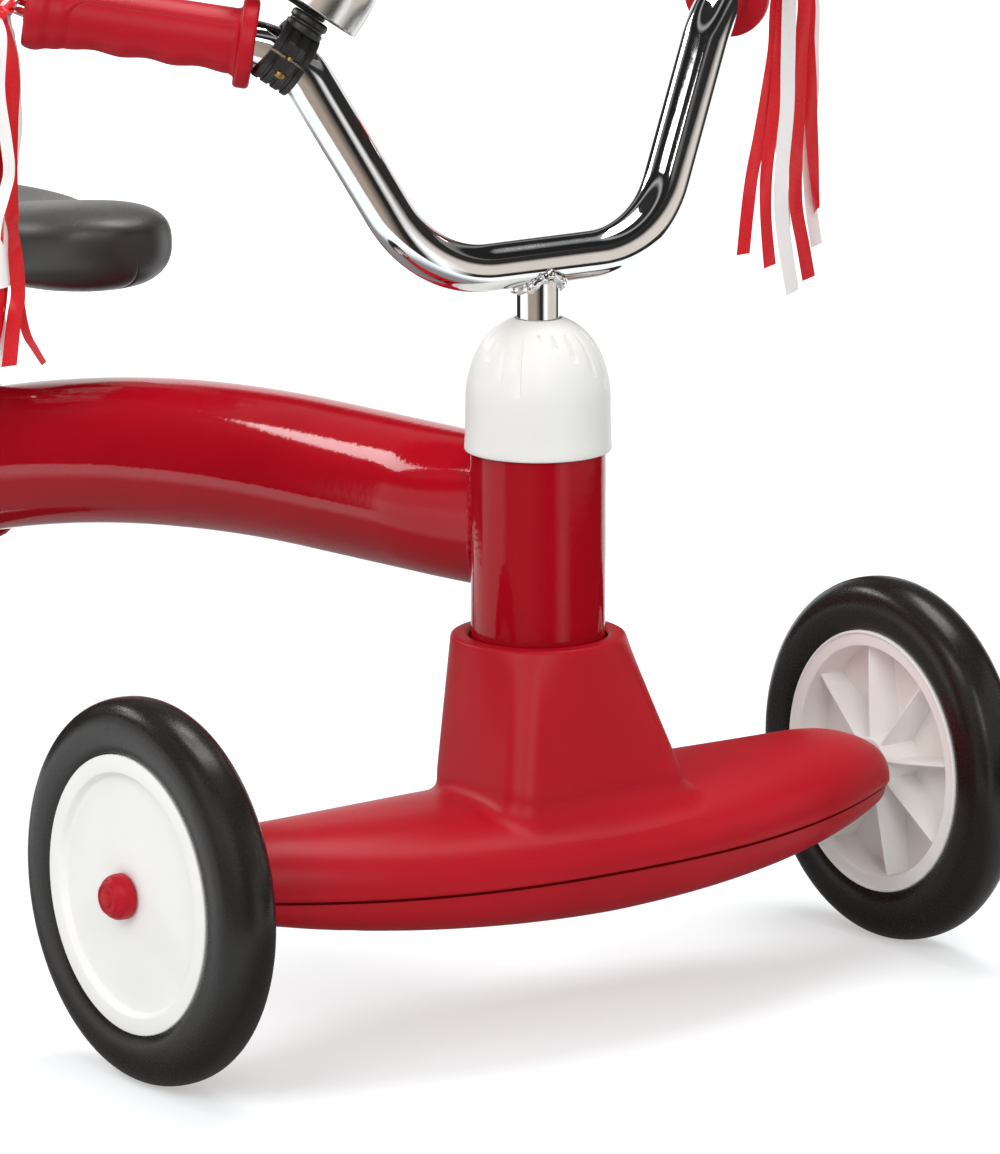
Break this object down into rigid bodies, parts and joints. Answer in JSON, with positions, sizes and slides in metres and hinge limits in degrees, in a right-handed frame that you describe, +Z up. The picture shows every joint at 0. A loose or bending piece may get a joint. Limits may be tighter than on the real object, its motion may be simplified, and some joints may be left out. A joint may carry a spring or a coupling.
{
  "type": "three wheel kids scooter",
  "caption": "Toddler ride-on with a curved tubular beam, steered front wheels joined by a moulded housing, a bow handlebar with bell and streamers, and a low saddle.",
  "frame": {"origin": "on the ground at the middle of the wheelbase, which is the middle of the object's box seen from above", "axes": "+X is the rider's left, +Y is the rear and +Z is up; the handlebar end is at -Y"},
  "size_m": [0.4258, 0.652, 0.4337],
  "materials": {
    "paint_red": "deep red gloss paint",
    "moulded_red": "satin moulded red plastic",
    "cap_white": "white moulded plastic",
    "hub_white": "white moulded plastic",
    "tyre": "black solid tyre with a soft sheen",
    "chrome": "bright chrome plate",
    "brushed_chrome": "finely brushed plate",
    "black_plastic": "black moulded plastic",
    "saddle_black": "black satin moulded plastic",
    "zinc_steel": "bright zinc plate",
    "brass": "yellow passivated screw",
    "nylon": "natural nylon",
    "ribbon": "thin red and white film"
  },
  "bodies": {
    "frame": {"main_beam": "paint_red", "head_tube": "paint_red", "head_cap": "cap_white", "head_bush_upper": "nylon", "head_bush_lower": "nylon", "fork_crown": "paint_red", "fork_leg_left": "paint_red", "fork_leg_right": "paint_red", "seat_tube": "paint_red", "rear_axle": "zinc_steel", "rear_nut": "zinc_steel", "rear_spacer_left": "zinc_steel", "rear_spacer_right": "zinc_steel"},
    "steering": {"handlebar": "chrome", "stem": "chrome", "grip_left": "moulded_red", "grip_right": "moulded_red", "streamers_left": "ribbon", "streamers_right": "ribbon", "bell_bracket": "black_plastic", "bell_strap": "black_plastic", "bell_screw": "brass", "bell_dome": "brushed_chrome", "bell_post": "zinc_steel", "housing_upper": "moulded_red", "housing_lower": "moulded_red", "housing_screw_1": "zinc_steel", "housing_screw_2": "zinc_steel", "housing_screw_3": "zinc_steel", "housing_screw_4": "zinc_steel", "axle_carrier": "zinc_steel", "axle_tube": "zinc_steel", "front_axle": "zinc_steel", "stem_bolt": "zinc_steel", "stem_nut": "zinc_steel", "thrust_washer": "zinc_steel", "axle_cap_left": "moulded_red", "axle_cap_right": "moulded_red", "front_spacer_left": "nylon", "front_spacer_right": "nylon"},
    "wheel_front_left": {"front_left_tyre": "tyre", "front_left_hub": "hub_white", "front_left_bush": "nylon"},
    "wheel_front_right": {"front_right_tyre": "tyre", "front_right_hub": "hub_white", "front_right_bush": "nylon"},
    "wheel_rear": {"rear_tyre": "tyre", "rear_hub": "hub_white", "rear_bush": "nylon"},
    "lever": {"bell_lever": "black_plastic"},
    "seat": {"saddle": "saddle_black", "seat_plate": "zinc_steel", "seat_post": "chrome", "seat_bolt_front": "zinc_steel", "seat_bolt_rear": "zinc_steel"},
    "knob": {"seat_knob": "black_plastic"}
  },
  "joints": [
    {"name": "steering_turn", "type": "hinge", "parent": "frame", "child": "steering", "pos_m": [0, -0.253, 0.112], "axis": [0, 0, 1], "range_deg": [-25, 25]},
    {"name": "wheel_front_left_spin", "type": "hinge", "parent": "steering", "child": "wheel_front_left", "pos_m": [0.183, -0.25, 0.076], "axis": [1, 0, 0], "continuous": true},
    {"name": "wheel_front_right_spin", "type": "hinge", "parent": "steering", "child": "wheel_front_right", "pos_m": [-0.183, -0.25, 0.076], "axis": [1, 0, 0], "continuous": true},
    {"name": "wheel_rear_spin", "type": "hinge", "parent": "frame", "child": "wheel_rear", "pos_m": [0, 0.25, 0.076], "axis": [1, 0, 0], "continuous": true},
    {"name": "bell_lever_push", "type": "hinge", "parent": "steering", "child": "lever", "pos_m": [-0.1038, -0.23045, 0.39096], "axis": [0.5408, -0.1901, 0.8194], "range_deg": [0, 22], "stiffness_Nm_per_rad": 0.05, "springref_deg": -11.46},
    {"name": "seat_height", "type": "slide", "parent": "frame", "child": "seat", "axis": [0, 0, 1], "range_m": [0, 0.025]},
    {"name": "seat_knob_turn", "type": "hinge", "parent": "frame", "child": "knob", "pos_m": [0, 0.177, 0.206], "axis": [0, 1, 0], "range_deg": [0, 360]}
  ]
}
